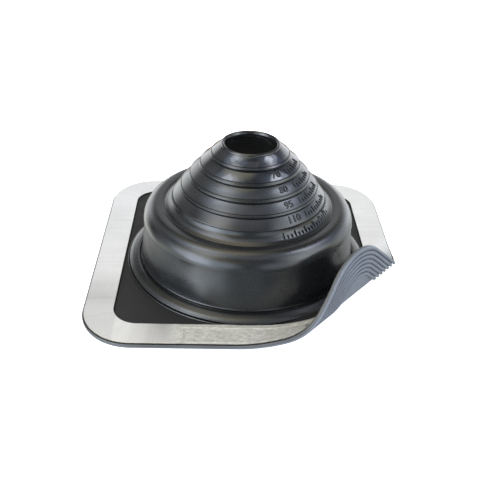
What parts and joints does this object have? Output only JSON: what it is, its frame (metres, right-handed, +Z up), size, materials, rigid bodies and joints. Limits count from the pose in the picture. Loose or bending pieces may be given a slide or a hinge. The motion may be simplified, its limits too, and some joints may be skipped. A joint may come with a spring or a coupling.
{
  "type": "pipe flashing boot",
  "caption": "Square rubber roof flashing boot for a round pipe: ribbed flange with a soft metal strip and a curled-up corner, and a hollow stepped cone with an open top.",
  "frame": {"origin": "centre of the square flange on the plane of its rib tips, the surface that lies on the roof", "axes": "+Z up out of the roof along the boot's axis, -Y towards the edge that the boot stands nearer to, the curled corner at +X -Y"},
  "size_m": [0.2, 0.2, 0.0856],
  "materials": {
    "epdm": "satin moulded",
    "strip": "mill, finely brushed"
  },
  "bodies": {
    "root": {"rubber_boot": "epdm", "aluminium_frame": "strip"}
  },
  "joints": []
}
